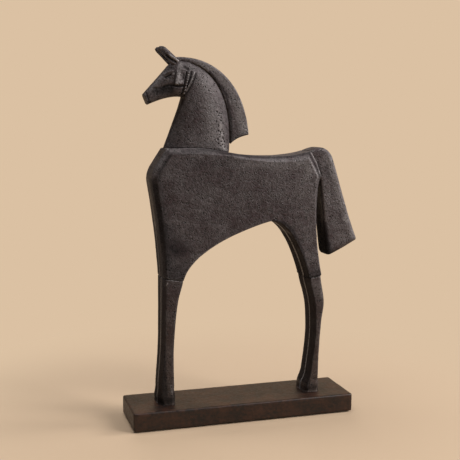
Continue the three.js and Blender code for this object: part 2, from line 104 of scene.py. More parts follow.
# A drawn outline: each knot is (x, z, bevel, handles to the next knot)
def drawOutline(knots, step):
    spots, bevels = [], []
    for knot, after in zip(knots, knots[1:] + knots[:1]):
        a, b, handles = Vector(knot[:2]), Vector(after[:2]), [Vector(h) for h in knot[3:]]
        if not handles:
            handles = [a.lerp(b, 1 / 3), a.lerp(b, 2 / 3)]
        elif len(handles) == 1:  # one handle pulls both ends
            handles = [a.lerp(handles[0], 2 / 3), b.lerp(handles[0], 2 / 3)]
        count = max(2, round((b - a).length / step))
        curve = interpolate_bezier(a, handles[0], handles[1], b, count + 1)
        for i, spot in enumerate(curve[:-1]):
            spots.append(spot.to_2d())
            bevels.append(knot[2] + (after[2] - knot[2]) * i / count)
    return spots, bevels


def insetOutline(spots, amounts):  # moves each point in by its own amount
    tightest = 0.6  # keeps a sharp corner from shooting out
    area = sum(a.x * b.y - b.x * a.y for a, b in zip(spots, spots[1:] + spots[:1]))
    turn = 1 if area > 0 else -1
    moved = []
    for i, spot in enumerate(spots):
        into = (spot - spots[i - 1]).normalized()
        out = (spots[(i + 1) % len(spots)] - spot).normalized()
        inward = Vector((-into.y - out.y, into.x + out.x)).normalized() * turn
        reach = max(turn * (inward.x * -into.y + inward.y * into.x), tightest)
        moved.append(spot + inward * amounts[i] / reach)
    return moved


def roundSection(middle, along, length, thickness, squareness, count):
    spots = []
    for i in range(count):
        angle = 2 * math.pi * i / count
        a, b = math.cos(angle), math.sin(angle)
        a = math.copysign(abs(a) ** (2 / squareness), a) * length / 2
        b = math.copysign(abs(b) ** (2 / squareness), b) * thickness / 2
        spots.append((middle + along * a + Vector((0, b, 0))) * mm)
    return spots


# A filled circle is laid on the first ring, and its face extruded from ring to ring
def growRings(name, rings):
    bare()
    bpy.ops.mesh.primitive_circle_add(vertices=len(rings[0]), radius=1, fill_type="NGON",
                                      location=(0, 0, 0))
    obj = bpy.context.object
    obj.name = name
    for vert, spot in zip(obj.data.vertices, rings[0]):
        vert.co = spot
    pick(obj, "FACE", lambda face: True)
    for before, after in zip(rings, rings[1:]):
        bpy.ops.mesh.extrude_region_move(TRANSFORM_OT_translate={"value": (0, 0, 0)})
        places = KDTree(len(before))
        for i, spot in enumerate(before):
            places.insert(spot, i)
        places.balance()
        shape = bmesh.from_edit_mesh(obj.data)
        for vert in shape.verts:
            if vert.select:
                vert.co = after[places.find(vert.co)[1]]
        bmesh.update_edit_mesh(obj.data)
    bpy.ops.mesh.select_all(action="SELECT")
    bpy.ops.mesh.normals_make_consistent(inside=False)
    bare()
    return obj


def prism(name, ring, half):  # a drawn ring pulled across Y, for cutting
    return growRings(name, [[Vector((x, y, z)) * mm for x, z in ring] for y in (-half, half)])


# A slab across Y, whose edges are rounded or chamfered in a number of turns
def slab(name, plan):
    spots, bevels = drawOutline(plan["outline"], plan["step"])
    half, turns = plan["thickness"] / 2, plan["bevelTurns"]
    depths = [plan.get("bevelDepth") or bevel * plan["depthShare"] for bevel in bevels]
    near = []
    for k in range(turns + 1):
        angle = math.pi / 2 * k / turns
        moved = insetOutline(spots, [bevel * (1 - math.sin(angle)) for bevel in bevels])
        near.append([Vector((spot.x, depth * (1 - math.cos(angle)) - half, spot.y)) * mm
                     for spot, depth in zip(moved, depths)])
    far = [[Vector((spot.x, -spot.y, spot.z)) for spot in ring] for ring in reversed(near)]
    return growRings(name, near + far)


def coordsOf(obj, what):
    data = np.empty(len(obj.data.vertices) * 3, np.float32)
    if what == "normal":
        obj.data.vertex_normals.foreach_get("vector", data)
    else:
        obj.data.vertices.foreach_get("co", data)
    return data.reshape(-1, 3).astype(np.float64)


def distanceTo(spots, line):  # from points to a drawn line, in the side view
    best = np.full(len(spots), np.inf)
    for a, b in zip(line, line[1:]):
        a, b = np.array(a, float), np.array(b, float)
        share = np.clip(((spots - a) @ (b - a)) / ((b - a) @ (b - a)), 0, 1)
        best = np.minimum(best, np.linalg.norm(spots - a - share[:, None] * (b - a), axis=1))
    return best


def insideOf(spots, ring):
    inside = np.zeros(len(spots), bool)
    for (ax, az), (bx, bz) in zip(ring, ring[1:] + ring[:1]):
        crosses = (az > spots[:, 1]) != (bz > spots[:, 1])
        span = bz - az if bz != az else 1e-9
        inside ^= crosses & (spots[:, 0] < (bx - ax) * (spots[:, 1] - az) / span + ax)
    return inside


# Chisel work. A line is pressed in or raised on faces that look sideways, or on all faces
# (allRound), and may have a flat core. A plate stands out with a soft edge. A seam lies on every
# face within reach of its drawn line, about the middle plane or beside it (middle). Any of them may
# lighten the patina (above 0) or darken it (below 0), and fade out upwards between two heights.
# Some lightening is abraded bare metal and much of it is a painted highlight; some darkening is
# patina in pits and hollows and much of it is painted shade.
carving = {
    "turnFrom": 0.25, "turnOver": 0.35,  # how far a face looks sideways before it takes a line
    "seamEdge": 0.4,  # soft share of a seam's reach
}
wholeWidth = 60  # of a seam that takes in a piece from side to side


def score(spots, width, rub=0, **more):
    return dict(more, line=spots, width=width, rub=rub)


def seam(spots, reach, width, rub, **more):
    return dict(more, seam=spots, reach=reach, width=width, rub=rub)


def carve(obj, strokes):
    spots = coordsOf(obj, "co")
    normals = coordsOf(obj, "normal")
    seen = spots[:, [0, 2]] / mm
    facing = (np.abs(normals[:, 1]) - carving["turnFrom"]) / carving["turnOver"]
    facing = np.clip(facing, 0, 1)
    lift, rub = np.zeros(len(spots)), np.zeros(len(spots))
    for stroke in strokes:
        rise, mask = 0, 1 if stroke.get("allRound") else facing
        if "plate" in stroke:
            ring = stroke["plate"]
            away = distanceTo(seen, ring + ring[:1])
            depth = np.where(insideOf(seen, ring), away, -away) / stroke["edge"]
            share = np.clip(depth + 0.5, 0, 1)
            rise = (seen - np.array(stroke["corner"])) @ np.array(stroke["slope"])
            rise = np.maximum(rise, -stroke["lift"])  # runs out level with its surroundings
        elif "seam" in stroke:
            near = 1 - distanceTo(seen, stroke["seam"]) / stroke["reach"]
            mask = np.clip(near / carving["seamEdge"], 0, 1)
            across = np.abs(spots[:, 1] / mm - stroke.get("middle", 0))
            share = 1 - np.clip(across / stroke["width"], 0, 1)
        else:
            away = distanceTo(seen, stroke["line"]) - stroke.get("core", 0)
            share = 1 - np.clip(away / stroke["width"], 0, 1)
        share = share * share * (3 - 2 * share) * mask
        if "fade" in stroke:
            low, high = stroke["fade"]
            share = share * np.clip((high - seen[:, 1]) / (high - low), 0, 1)
        lift += (stroke.get("lift", 0) + rise) * share
        worn = stroke.get("rub", 0) * share
        rub = np.where(np.abs(worn) > np.abs(rub), worn, rub)
    spots += normals * (lift * mm)[:, None]
    obj.data.vertices.foreach_set("co", spots.astype(np.float32).ravel())
    obj.data.update()
    # the signed mark of each point: abraded metal and painted highlights above 0, patina in pits
    # and painted shade below 0
    mark = obj.data.attributes.new("rubbed", "FLOAT", "POINT")
    mark.data.foreach_set("value", rub.astype(np.float32))


def beads(line, pitch, **stroke):  # a row of short strokes along a line, like a twisted rope
    beadSpan = (0.4, 0.6)  # of each pitch
    spots = [Vector(spot) for spot in line]
    row = []
    for a, b in zip(spots, spots[1:]):
        count = max(1, round((b - a).length / pitch))
        for i in range(count):
            ends = [a.lerp(b, (i + part) / count) for part in beadSpan]
            row.append(score([tuple(end) for end in ends], **stroke))
    return row


# How far each point stands out of its surroundings, in mm: edges are above 0, creases below
def noteRelief(obj, rounds):
    count = len(obj.data.vertices)
    edges = np.empty(len(obj.data.edges) * 2, np.int32)
    obj.data.edges.foreach_get("vertices", edges)
    a, b = edges[0::2], edges[1::2]
    links = np.bincount(a, minlength=count) + np.bincount(b, minlength=count)
    links = np.maximum(links, 1)
    spots, normals = coordsOf(obj, "co"), coordsOf(obj, "normal")
    soft = spots.copy()
    for _ in range(rounds):
        total = np.zeros_like(soft)
        for axis in range(3):
            sums = np.bincount(a, soft[b, axis], count) + np.bincount(b, soft[a, axis], count)
            total[:, axis] = sums / links
        soft = (soft + total) / 2
    relief = ((spots - soft) * normals).sum(axis=1) / mm
    mark = obj.data.attributes.new("relief", "FLOAT", "POINT")
    mark.data.foreach_set("value", relief.astype(np.float32))


castSkin = {
    "waveSize": 26, "wave": 0.5,  # slow unevenness from hand-finished moulds
    "grainSize": 4.5, "grain": 0.22,  # sand grain that shows on the edges
    "octaves": 2, "reliefRounds": 14,
}


def cloudTexture(name, size):
    texture = bpy.data.textures.new(name, "CLOUDS")
    texture.noise_scale = size * mm
    texture.noise_depth = castSkin["octaves"]
    return texture


waveTexture = cloudTexture("mouldWaves", castSkin["waveSize"])
grainTexture = cloudTexture("sandGrain", castSkin["grainSize"])


def castFinish(obj, plan, strokes=()):
    modify(obj, "REMESH", mode="VOXEL", voxel_size=plan["voxel"] * mm, adaptivity=0,
           use_smooth_shade=True)
    modify(obj, "SMOOTH", factor=0.5, iterations=plan["softening"])
    if strokes:
        carve(obj, strokes)
    for texture, depth in ((waveTexture, castSkin["wave"]), (grainTexture, castSkin["grain"])):
        modify(obj, "DISPLACE", texture=texture, texture_coords="LOCAL", mid_level=0.5,
               strength=depth * plan["unevenness"] * mm)
    noteRelief(obj, castSkin["reliefRounds"])
    choose(obj)
    bpy.ops.object.shade_smooth()


def handOver(obj, slot, material, *nodes):  # the piece takes the place of its CAD nodes
    obj.data.materials.clear()
    obj.data.materials.append(material)
    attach(obj, "root")
    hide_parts(*nodes)
    print("made", obj.name, len(obj.data.polygons), "faces")


# Materials

def toLinear(hexColour):
    channels = [int(hexColour[i:i + 2], 16) / 255 for i in (1, 3, 5)]
    linear = [c / 12.92 if c <= 0.04045 else ((c + 0.055) / 1.055) ** 2.4 for c in channels]
    return tuple(linear) + (1,)


def addNode(tree, kind, settings=None, links=None):  # a link's source is a node and its output
    node = tree.nodes.new("ShaderNode" + kind)
    for key, value in (settings or {}).items():
        if key == "stops":  # of a colour ramp
            for stop, (place, colour) in zip(node.color_ramp.elements, value):
                stop.position, stop.color = place, toLinear(colour)
        elif key == "span":  # two ends that a value is taken from, and two that it is taken to
            for i, end in enumerate(value):
                node.inputs[i + 1].default_value = end
        elif isinstance(key, str) and hasattr(node, key):
            setattr(node, key, value)
        else:
            node.inputs[key].default_value = value
    for key, (source, output) in (links or {}).items():
        tree.links.new(source.outputs[output], node.inputs[key])
    return node


def newMaterial(name):  # with an empty tree, and the place that its patterns go by
    material = bpy.data.materials.new(name)
    material.use_nodes = True
    tree = material.node_tree
    tree.nodes.clear()
    return material, tree, {"Vector": (addNode(tree, "TexCoord"), "Object")}


def finishMaterial(tree, look, colour, rough, depth=None):  # with its relief, shader and output
    links = {"Base Color": colour, "Roughness": rough}
    if depth:
        relief = {"Strength": look["bump"], "Distance": look["bumpDepth"] * mm}
        links["Normal"] = addNode(tree, "Bump", relief, {"Height": depth}), 0
    shader = addNode(tree, "BsdfPrincipled", {"Metallic": look["metallic"]}, links)
    addNode(tree, "OutputMaterial", {}, {0: (shader, 0)})


shading = {"data_type": "RGBA", "blend_type": "MULTIPLY", 0: 1}  # for a mix that darkens a colour


# Sand-cast aluminium under a dark brown patina: matt, purple-brown to grey-green in clouds, with
# small dark pits, a coarse grain, grey abraded edges and browner feet. Painted light lies on top: a
# lightening from chest to tail, and the highlights and shade of the carved marks
def patinatedAluminium():
    look = {
        "deep": (0.57, "#34292c"), "mid": (0.91, "#504b4d"),  # places on a ramp
        "bare": "#918d8e", "pit": "#0f0d0d", "foot": "#3c2e24", "metallic": 0.35,
        "noises": {  # size in mm, detail, roughness; the fine grain is drawn coarser to show
            "blotch": (26, 6, 0.65), "mottle": (7, 3, 0.6), "grain": (2.4, 3, 0.65),
            "fine": (1.2, 1, 0.5), "scuff": (5, 5, 0.7),
        },
        "mottleShare": 0.5, "pits": 2.6, "pitRim": 0.1, "pitDepth": -2.5,
        "bump": 0.8, "bumpDepth": 0.9,
        "spans": {  # what a value is read from, its two ends there, and the two that they become
            "pitSize": ("scuff", 0.3, 0.62, 0.06, 0.4),
            "pitShare": ("height", 388 * mm, 398 * mm, 1, 0.1),  # pits die out over the ears
            "lowness": ("height", 20 * mm, 165 * mm, 0.75, 0),
            "paler": ("length", -100 * mm, 140 * mm, 0.94, 1.2),  # painted light, lighter from chest to tail
            "fineTone": ("fine", 0.25, 0.75, 0.68, 1.32),
            "grainTone": ("grain", 0.3, 0.7, 0.5, 1.5), "sheen": ("grain", 0.3, 0.7, 0.46, 0.68),
            "raised": ("relief", 0.12, 0.5, 0, 0.6), "sunk": ("relief", -0.04, -0.3, 1, 0.25),
            "patchy": ("scuff", 0.4, 0.62, 0, 1), "smudge": ("scuff", 0.35, 0.65, 0.55, 1.15),
            # marks below 0 darken and roughen: patina in pits, and painted shade
            "stained": ("rubbed", -1, 0, 0.15, 1), "dull": ("rubbed", -0.7, 0, 0.45, 0),
        },
        "sums": {  # operation, its two values, and whether it is kept between 0 and 1
            "hollow": ("SUBTRACT", "pitSize", "pits", True),
            "bothGrains": ("MULTIPLY", "grainTone", "fineTone", False),
            "speckle": ("MULTIPLY", "bothGrains", "paler", False),
            "edgeWear": ("MULTIPLY", "raised", "patchy", False),
            # marks above 0 lighten: abraded metal, and painted highlights
            "handWear": ("MULTIPLY", "rubbed", "smudge", False),
            "worn": ("MAXIMUM", "edgeWear", "handWear", True),
            # darker in hollows, with patina there, and darker under the painted shade of the marks
            "dirt": ("MULTIPLY", "sunk", "stained", False),
            "rough": ("ADD", "sheen", "dull", True),
        },
    }
    material, tree, where = newMaterial("patinatedCastAluminium")
    place = addNode(tree, "SeparateXYZ", {}, where)
    pits = addNode(tree, "TexVoronoi", {"Scale": 1 / (look["pits"] * mm)}, where)
    values = {"length": (place, "X"), "height": (place, "Z"), "pits": (pits, "Distance")}
    for name in ("relief", "rubbed"):
        values[name] = addNode(tree, "Attribute", {"attribute_name": name}), "Fac"
    for name, (size, detail, roughness) in look["noises"].items():
        grains = {"Scale": 1 / (size * mm), "Detail": detail, "Roughness": roughness}
        values[name] = addNode(tree, "TexNoise", grains, where), "Fac"
    for name, (source, *ends) in look["spans"].items():
        values[name] = addNode(tree, "MapRange", {"span": ends}, {"Value": values[source]}), 0
    for name, (operation, a, b, clamp) in look["sums"].items():
        values[name] = addNode(tree, "Math", {"operation": operation, "use_clamp": clamp},
                               {0: values[a], 1: values[b]}), 0
    clouds = addNode(tree, "Math", {"operation": "MULTIPLY_ADD", 1: look["mottleShare"]},
                     {0: values["mottle"], 2: values["blotch"]})
    tone = addNode(tree, "ValToRGB", {"stops": (look["deep"], look["mid"])}, {"Fac": (clouds, 0)})
    footed = addNode(tree, "Mix", {"data_type": "RGBA", 7: toLinear(look["foot"])},
                     {0: values["lowness"], 6: (tone, 0)})
    # grain tones, and the painted lightening from chest to tail
    grainedAndPaintedLight = addNode(tree, "Mix", shading, {6: (footed, 2), 7: values["speckle"]})
    bared = addNode(tree, "Mix", {"data_type": "RGBA", 7: toLinear(look["bare"])},
                    {0: values["worn"], 6: (grainedAndPaintedLight, 2)})
    inPit = addNode(tree, "MapRange", {"From Max": look["pitRim"]},
                    {"Value": values["hollow"], "To Max": values["pitShare"]})
    pitted = addNode(tree, "Mix", {"data_type": "RGBA", 7: toLinear(look["pit"])},
                     {0: (inPit, 0), 6: (bared, 2)})
    colour = addNode(tree, "Mix", shading, {6: (pitted, 2), 7: values["dirt"]})
    depth = addNode(tree, "Math", {"operation": "MULTIPLY_ADD", 1: look["pitDepth"]},
                    {0: values["hollow"], 2: values["grain"]})
    finishMaterial(tree, look, (colour, 2), values["rough"], (depth, 0))
    return material


# Stained hardwood under satin lacquer: dark red-brown with a cloudy stain, faint lengthwise streaks
# and a blurred shine
def stainedHardwood():
    look = {
        "dark": (0.43, "#130906"), "light": (0.58, "#3a2114"),
        "noises": {  # length and breadth in mm, detail, roughness, distortion
            "cloud": (18, 18, 4, 0.6, 0), "mottle": (3.5, 3.5, 3, 0.6, 0),
            "streak": (60, 3.5, 6, 0.6, 0.3), "pore": (6, 0.9, 2, 0.5, 0),
        },
        "streakShare": 0.35, "poreTone": (0.3, 0.5, 0.75, 1), "rough": (0.3, 0.7, 0.37, 0.56),
        "mottleDepth": 0.6, "bump": 0.18, "bumpDepth": 0.4, "metallic": 0,
    }
    material, tree, where = newMaterial("satinStainedHardwood")
    noises = {}
    for name, (length, breadth, detail, roughness, distortion) in look["noises"].items():
        along = addNode(tree, "Mapping", {"Scale": (1 / length, 1 / breadth, 1 / breadth)}, where)
        grains = {"Scale": 1 / mm, "Detail": detail, "Roughness": roughness,
                  "Distortion": distortion}
        noises[name] = addNode(tree, "TexNoise", grains, {"Vector": (along, 0)}), "Fac"
    clouds = addNode(tree, "Math", {"operation": "ADD"}, {0: noises["cloud"], 1: noises["mottle"]})
    mixed = addNode(tree, "Math", {"operation": "MULTIPLY_ADD", 1: look["streakShare"]},
                    {0: noises["streak"], 2: (clouds, 0)})
    mean = addNode(tree, "Math", {"operation": "DIVIDE", 1: 2 + look["streakShare"]},
                   {0: (mixed, 0)})
    tone = addNode(tree, "ValToRGB", {"stops": (look["dark"], look["light"])}, {"Fac": (mean, 0)})
    poreTone = addNode(tree, "MapRange", {"span": look["poreTone"]}, {"Value": noises["pore"]})
    colour = addNode(tree, "Mix", shading, {6: (tone, 0), 7: (poreTone, 0)})
    rough = addNode(tree, "MapRange", {"span": look["rough"]}, {"Value": noises["mottle"]})
    depth = addNode(tree, "Math", {"operation": "MULTIPLY_ADD", 1: look["mottleDepth"]},
                    {0: noises["mottle"], 2: noises["pore"]})
    finishMaterial(tree, look, (colour, 2), (rough, 0), (depth, 0))
    return material


# Zinc-plated steel: cool grey with a faint spangle, on the hidden screws, washers, dowels and pins
def zincSteel():
    look = {"dark": (0.1, "#85888b"), "light": (0.8, "#a4a7a9"), "spangle": 1.5, "metallic": 1,
            "rough": (0, 1, 0.28, 0.45)}
    material, tree, where = newMaterial("zincPlatedSteel")
    grains = {"Scale": 1 / (look["spangle"] * mm)}
    spangle = addNode(tree, "TexVoronoi", grains, where), "Distance"
    tone = addNode(tree, "ValToRGB", {"stops": (look["dark"], look["light"])}, {"Fac": spangle})
    rough = addNode(tree, "MapRange", {"span": look["rough"]}, {"Value": spangle})
    finishMaterial(tree, look, (tone, 0), (rough, 0))
    return material


# Moulded black rubber sheet: matt, with a fine dusty mottle
def sheetRubber():
    look = {"dark": (0.3, "#161514"), "light": (0.7, "#242221"), "mottle": 2, "detail": 4,
            "rough": (0, 1, 0.75, 0.95), "bump": 0.2, "bumpDepth": 0.1, "metallic": 0}
    material, tree, where = newMaterial("mouldedSheetRubber")
    grains = {"Scale": 1 / (look["mottle"] * mm), "Detail": look["detail"]}
    mottle = addNode(tree, "TexNoise", grains, where), "Fac"
    tone = addNode(tree, "ValToRGB", {"stops": (look["dark"], look["light"])}, {"Fac": mottle})
    rough = addNode(tree, "MapRange", {"span": look["rough"]}, {"Value": mottle})
    finishMaterial(tree, look, (tone, 0), (rough, 0), mottle)
    return material


castMetal = patinatedAluminium()
plinthWood = stainedHardwood()
steel = zincSteel()
rubber = sheetRubber()
print("materials ready")


# Body: one flank seen from the side, swept across to the other
haunchLine = [(36, 219.6), (47, 217), (57, 208), (67.6, 186.5), (76.9, 157.4)]  # its inner edge
chestLine = [(-87.8, 157.4), (-89.3, 182.5), (-91.8, 208.9), (-95.3, 236.5), (-99.8, 265.4)]
bodyPlan = {
    "thickness": 40, "bevelDepth": 4.5, "bevelTurns": 1, "step": 4,
    "outline": [
        (-87.8, 149.4, 3),  # below the front knee, trimmed later
        (-87.8, 157.4, 3, (-89.8, 206.4)),
        (-99.8, 265.4, 6, (-100.7, 272.4)),  # chest
        (-96.0, 281.2, 6),
        (-83.0, 300.7, 6),  # withers
        (-47.8, 301.3, 6),
        (-12.3, 295.5, 3, (9.7, 291.0), (50, 288.0)),  # back
        (79.6, 296.2, 7.6),
        (86.8, 284.2, 7.6),
        (91.9, 269.5, 5.6, (86.2, 254), (87.0, 222)),  # rump
        (87.2, 203.0, 1.2, (87.6, 190), (90.8, 170)),
        (93.4, 157.4, 1),
        (93.4, 149.4, 1),
        (76.9, 149.4, 0.6),
        (76.9, 157.4, 0.6, (68.6, 185.4), (52.8, 222.4)),  # inner edge of the haunch
        (31.0, 219.4, 0.6, (-5, 210), (-59.5, 188.4)),  # belly
        (-66.5, 157.4, 0.6),
        (-66.5, 149.4, 0.6),
    ],
    "frontKnee": (-77.1, 160.2, -0.16), "rearKnee": (84.9, 155.4, 0.15),  # middle, height, slope
    "trimFrom": 100, "trimReach": 60,  # height and half breadth of what is cut off under a knee
    "voxel": 1.0, "softening": 3, "unevenness": 1,
    "strokes": [
        seam(haunchLine, 3.2, wholeWidth, -0.7),  # painted shade on the inner face of the haunch, under the belly
        # raised parting line of the two half moulds, painted bright: abraded bare metal and a
        # painted highlight
        seam(haunchLine, 3.6, 3.2, 1.7, middle=-3, lift=0.9),
        # painted shade on the chest, which faces away from the lamps
        score([(-95.2, 270), (-96.8, 258)], 3.4, -0.42),
        score([(-96.8, 261), (-96.4, 252), (-93, 236), (-91, 220), (-89.6, 204)], 2.6, -0.6,
              core=2.4),  # chest bevel, darkened with painted shade
        score([(-93, 262), (-87, 220)], 8, -0.28, allRound=True),
        score([(-87, 218), (-84, 172)], 8.5, -0.6, allRound=True),
        seam(chestLine, 5, 15, -0.5, middle=-12),  # painted shade on the near half of the chest
        seam(chestLine, 5, wholeWidth, -0.45, fade=(195, 255)),
        # raised parting line down the chest, painted bright: abraded bare metal and a painted
        # highlight
        seam(chestLine, 5, 3.6, 0.62, middle=1.2, lift=0.3, fade=(215, 262)),
        # painted shade about the tops of the front legs, under the belly
        score([(-79, 200), (-68, 194)], 14, -0.42),
        score([(-81, 196), (-75, 191)], 11, -0.65),
        score([(-84, 168), (-70, 164)], 26, -0.42),  # painted shade round the front knee
        score([(-82, 215), (-80, 180)], 11, -0.32),
        score([(84, 158), (94, 158)], 14, -0.42, allRound=True),  # painted shade round the rear knee
        score([(77, 155.4), (84.9, 156.6), (93.4, 157.8)], 2.2, -0.85, allRound=True),
        score([(-47, 300.5), (-12.3, 295.2), (7.1, 292.5), (30.8, 291), (55.9, 291.9), (77, 295.4)],
              4.2, -0.5),  # painted shade along the back bevel
        score([(-9.5, 291), (13.1, 287.8), (36, 285.6), (50, 286)], 2.4, 0.32),  # its edge, painted lighter: abraded metal and a painted highlight
        # painted highlight on the inner edge of the rump bevel
        score([(75, 289.9), (76.6, 286.6), (81.6, 277.7), (86.9, 267)], 1.7, 0.6),
        score([(77.4, 293), (80.6, 286.6), (85.2, 277.7), (89.4, 268)], 2.6, -0.65),  # painted shade in the rump bevel
        # painted highlight along the rump's outer edge
        score([(79.6, 296.2), (86.8, 284.2), (91.9, 269.5)], 1.3, 1, allRound=True),
        score([(8, 284), (40, 281.5), (70, 284)], 13, 0.25),
        score([(70, 266), (72, 250)], 16, 0.2),
        score([(73, 286), (76, 272)], 9, 0.32),
        # crease inside the shoulder bevel, darkened with painted shade
        score([(-78.6, 295), (-85.6, 285.7), (-91.4, 276.3), (-93.4, 266)], 2.4, -0.6, lift=-0.2),
        # painted highlight on the shoulder bevel
        score([(-85.6, 292.4), (-91.4, 284.2), (-96.6, 275.6), (-97.4, 271)], 2.4, 0.26),
        # painted shade along the flank's top edge below the neck and on the flank under it, with a
        # painted highlight on the seat bevel
        score([(-76, 294.8), (-58, 294.6)], 1.5, -0.35),
        score([(-79, 298.4), (-69, 298.2)], 3, 0.2),
        score([(-60, 298.2), (-36, 296.6)], 4, -0.22),
        score([(-60, 283), (-20, 284)], 9, -0.15),
        score([(10, 280), (45, 270), (66, 250)], 24, 0.07),
        score([(74, 274), (76, 230), (78, 200)], 13, 0.12),
    ],
}
body = slab("horseBody", bodyPlan)
for kneeX, kneeZ, slope in (bodyPlan["frontKnee"], bodyPlan["rearKnee"]):
    ends = (min(kneeX, 0) * 2, max(kneeX, 0) * 2)
    under = [(x, bodyPlan["trimFrom"]) for x in ends]
    seat = [(x, kneeZ + slope * (x - kneeX)) for x in reversed(ends)]
    cutWith(body, prism("kneeSeat", under + seat, bodyPlan["trimReach"]))
bodyTool = body.copy()  # trims the neck and the tail
bodyTool.data = body.data.copy()
scene.collection.objects.link(bodyTool)
castFinish(body, bodyPlan, bodyPlan["strokes"])
handOver(body, "cast_metal", castMetal, "torso_left", "torso_right")

# Shins: chamfered sections from the plinth to the knee, left and right all but touching, with a
# coronet line above each hoof and a lip of filler round it
shinPlan = {
    "low": 21.4, "seatGap": 0.3, "edgePoints": 4, "rings": 34, "inner": 0.4,
    "across": [0, 0.15, 0.33, 0.67, 1], "outer": [16.2, 15.9, 16.0, 17.6, 19.4],
    "lip": 1.2, "lipHeight": 2.4, "lipMiddle": 0.4, "hoofRound": 2.6, "hoofShare": 0.12,
    "coronet": 0.5, "coronetShare": 0.105, "coronetReach": 0.024,
    "bulge": 0.9, "bulgeShare": 0.05, "bulgeCurve": 0.6, "tiltCurve": 6,
    "front": {
        "x": -84.5, "shares": [0, 0.147, 0.441, 0.705, 0.853, 1],
        "fore": [-9.0, -8.6, -5.6, -4.5, -4.1, -3.8], "aft": [8.4, 8.0, 7.8, 10.3, 13.2, 18.0],
        "foreCut": (2.6, 7), "aftCut": (2, 3), "innerCut": 0.3, "frontSlope": 0,
        # painted shade darkens the fore face; a line down it is painted bright, abraded metal and a
        # painted highlight
        "stain": -0.5, "paintedForeShadeReach": 4.2, "rub": 0.7, "bareAndLitLineWidth": 4, "bareAndLitLineMiddle": -4.6,
    },
    "rear": {
        "x": 84.5, "shares": [0, 0.06, 0.15, 0.45, 0.62, 0.78, 1],
        "fore": [-9.4, -8.4, -4.0, 0.8, 1.4, -0.4, -7.2],
        "aft": [8.4, 8.3, 8.3, 9.5, 11.2, 13.3, 8.4],
        "foreCut": (1.6, 5), "aftCut": (2.4, 4), "innerCut": 0.3, "frontSlope": 0.7,
        # painted shade darkens the fore face; a line down it is painted bright, abraded metal and a
        # painted highlight
        "stain": -0.6, "paintedForeShadeReach": 3, "rub": 1.4, "bareAndLitLineWidth": 2.9, "bareAndLitLineMiddle": -0.8,
    },
    "voxel": 0.65, "softening": 2, "unevenness": 0.6,
    # reach of the bright fore line; the painted fore-face shade starts this far above the foot;
    # painted shade on the aft edge
    "bareAndLitLineReach": 3, "unshadedFoot": 9, "paintedAftShade": -0.45, "aftReach": 2.6,
    # a painted highlight on the filler lip round the foot
    "fillerHalf": 14, "fillerReach": 2, "fillerHighlight": 0.2,
    "frontWear": [
        score([(-80.8, 43), (-79.4, 34)], 2.2, 0.4),  # scuffed shin
        # ledge of filler, painted lighter as a highlight
        score([(-87.4, 160.9), (-77, 159.2), (-68.2, 157.8)], 1.1, 0.28, lift=0.25),
        score([(-84.6, 157), (-88, 151)], 1.1, 0.6, lift=0.3),
        score([(-92, 27), (-78, 27)], 10, -0.7, allRound=True),  # dark hoof
        # painted shade down the fore face of the front shin
        score([(-89.6, 92), (-88.9, 62), (-88.2, 44), (-87.6, 28)], 3.4, -0.66, core=1.5),
        score([(-77, 34), (-76.4, 26)], 4, -0.85, allRound=True),  # heel
    ],
    "rearWear": [
        score([(91.5, 150), (94, 132)], 4, 0.25),
        score([(79, 153.8), (84.9, 154.6), (93, 155.8)], 1.5, 0.3, lift=0.2),  # ledge of filler, painted lighter as a highlight
        # painted shade down the fore face of the rear shin
        score([(81.5, 54), (79.5, 38), (79, 26)], 2.6, -0.55, core=0.8),
        score([(84, 27), (93, 27)], 7, -0.35, allRound=True),  # heel
    ],
}


def smoothAt(places, values, place):  # a curve through values, drawn without overshoot at its ends
    for i in range(len(places) - 1):
        if place <= places[i + 1] or i == len(places) - 2:
            span = places[i + 1] - places[i]
            t = min(max((place - places[i]) / span, 0), 1)
            before = values[max(i - 1, 0)]
            after = values[min(i + 2, len(values) - 1)]
            a, b = values[i], values[i + 1]
            return 0.5 * (2 * a + (b - before) * t + (2 * before - 5 * a + 4 * b - after) * t * t
                          + (3 * a - before - 3 * b + after) * t ** 3)


def legSection(fore, aft, outer, leg, extra):  # (x, y) of a section with its corners cut off
    (foreX, foreY), (aftX, aftY), small = leg["foreCut"], leg["aftCut"], leg["innerCut"]
    foreX, aftX, aftY = foreX + extra, aftX + extra, aftY + extra
    inner, count = shinPlan["inner"], shinPlan["edgePoints"]
    corners = [(fore, inner + small), (fore + leg["frontSlope"], outer - foreY),
               (fore + foreX, outer), (aft - aftX, outer), (aft, outer - aftY),
               (aft, inner + small), (aft - small, inner), (fore + small, inner)]
    return [Vector(a).lerp(Vector(b), i / count)
            for a, b in zip(corners, corners[1:] + corners[:1]) for i in range(count)]


